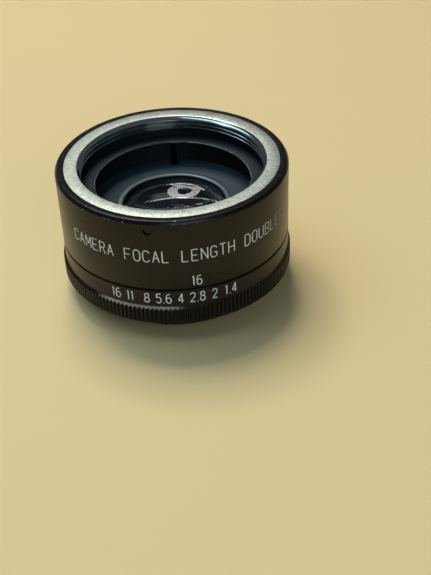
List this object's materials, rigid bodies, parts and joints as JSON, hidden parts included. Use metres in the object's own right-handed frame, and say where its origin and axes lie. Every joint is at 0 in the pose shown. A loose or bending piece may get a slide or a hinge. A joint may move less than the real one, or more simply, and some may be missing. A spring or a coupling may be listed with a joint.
{
  "type": "lens focal-length doubler",
  "caption": "Short black barrel with a bright female-threaded front ring, glass in a stepped bore, a knurled f-number ring and a male-threaded rear mount.",
  "frame": {"origin": "on the optical axis, in the plane of the rear thread's end face, which the part stands on", "axes": "+Z along the optical axis towards the front mount; -Y towards the engraved side"},
  "size_m": [0.0532, 0.0532, 0.0308],
  "materials": {
    "barrel_black": "black anodised, satin, slightly worn",
    "mount_chrome": "satin chrome on brass",
    "matt_black": "matt black against stray light",
    "screw_blued": "blackened steel",
    "spring_steel": "bright drawn steel",
    "bush_brass": "turned",
    "optical_glass": "polished, with a violet anti-reflection coating"
  },
  "bodies": {
    "housing": {"main_barrel": "barrel_black", "lens_tube": "barrel_black", "rear_mount": "barrel_black", "front_mount_ring": "mount_chrome", "front_spacer": "matt_black", "rear_spacer": "matt_black", "rear_retaining_ring": "matt_black", "rear_baffle": "matt_black", "mount_set_screw_1": "screw_blued", "mount_set_screw_2": "screw_blued", "mount_set_screw_3": "screw_blued", "rear_mount_screw_1": "screw_blued", "rear_mount_screw_2": "screw_blued", "rear_mount_screw_3": "screw_blued", "rear_mount_screw_4": "screw_blued", "baffle_screw_1": "screw_blued", "baffle_screw_2": "screw_blued", "baffle_screw_3": "screw_blued", "tube_screw_1": "screw_blued", "tube_screw_2": "screw_blued", "tube_screw_3": "screw_blued", "return_spring_1": "spring_steel", "return_spring_2": "spring_steel", "return_spring_3": "spring_steel", "ring_drag_spring": "spring_steel", "guide_bush_1": "bush_brass", "guide_bush_2": "bush_brass", "guide_bush_3": "bush_brass", "front_element": "optical_glass", "middle_element_front": "optical_glass", "middle_element_rear": "optical_glass", "rear_element": "optical_glass"},
    "scale_ring": {"scale_ring": "barrel_black", "ring_stop_screw": "screw_blued"},
    "diaphragm_pusher": {"pusher_ring": "matt_black", "push_rod": "spring_steel", "guide_post_1": "spring_steel", "guide_post_2": "spring_steel", "rod_clip_1": "screw_blued", "rod_clip_2": "screw_blued", "rod_clip_3": "screw_blued"}
  },
  "joints": [
    {"name": "scale_ring_turn", "type": "hinge", "parent": "housing", "child": "scale_ring", "pos_m": [0, 0, 0.0095], "axis": [0, 0, 1], "range_deg": [-10.8, 46]},
    {"name": "pusher_slide", "type": "slide", "parent": "housing", "child": "diaphragm_pusher", "axis": [0, 0, 1], "range_m": [0, 0.0015], "stiffness_N_per_m": 300, "springref_m": -0.003, "deforming": ["return_spring_1", "return_spring_2", "return_spring_3"]}
  ]
}
